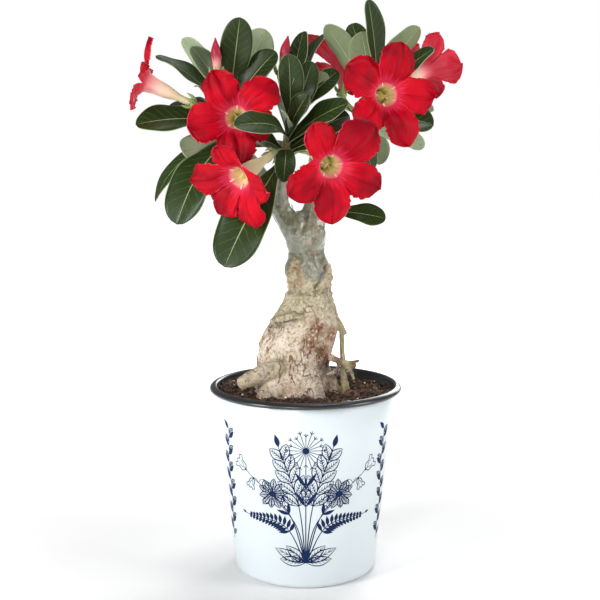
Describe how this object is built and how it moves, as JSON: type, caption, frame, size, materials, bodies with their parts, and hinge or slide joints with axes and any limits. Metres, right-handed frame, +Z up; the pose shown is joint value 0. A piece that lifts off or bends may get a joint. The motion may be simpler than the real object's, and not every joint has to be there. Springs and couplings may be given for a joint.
{
  "type": "potted desert rose adenium",
  "caption": "Desert rose with a swollen caudex, cut roots, whorls of glossy obovate leaves and red five-petalled blooms, in soil in a black-lipped white pot.",
  "frame": {"origin": "centre of the pot's flat underside, on the surface it stands on", "axes": "+Z up, +X to the right and -Y towards the viewer of the picture"},
  "size_m": [0.2181, 0.1405, 0.3776],
  "materials": {
    "pot_white": "smooth satin white plastic",
    "pot_black": "glossy black plastic",
    "soil": "crumbly dark peat with bark chips and perlite specks",
    "bark": "smooth grey-tan skin, scarred and cracked near the soil",
    "leaf": "waxy dark green with a pale midrib, pale grey-green beneath",
    "petal": "soft matt red, pink round a yellow-green throat, pale pink tube",
    "bud": "soft matt pink-red over a pale yellow-green tube"
  },
  "bodies": {
    "root": {"cover_pot": "pot_white", "nursery_pot": "pot_black", "soil": "soil", "caudex": "bark", "leafy_stem_left": "leaf", "leafy_stem_centre": "leaf", "leafy_stem_right": "leaf", "leafy_sprout_low": "leaf", "bloom_top_left": "petal", "bloom_low_left": "petal", "bloom_centre": "petal", "bloom_top_right": "petal", "bloom_side_left": "petal", "bloom_back_right": "petal", "bloom_back_centre": "petal", "bud_left": "bud", "bud_centre": "bud", "bud_right": "bud"}
  },
  "joints": []
}
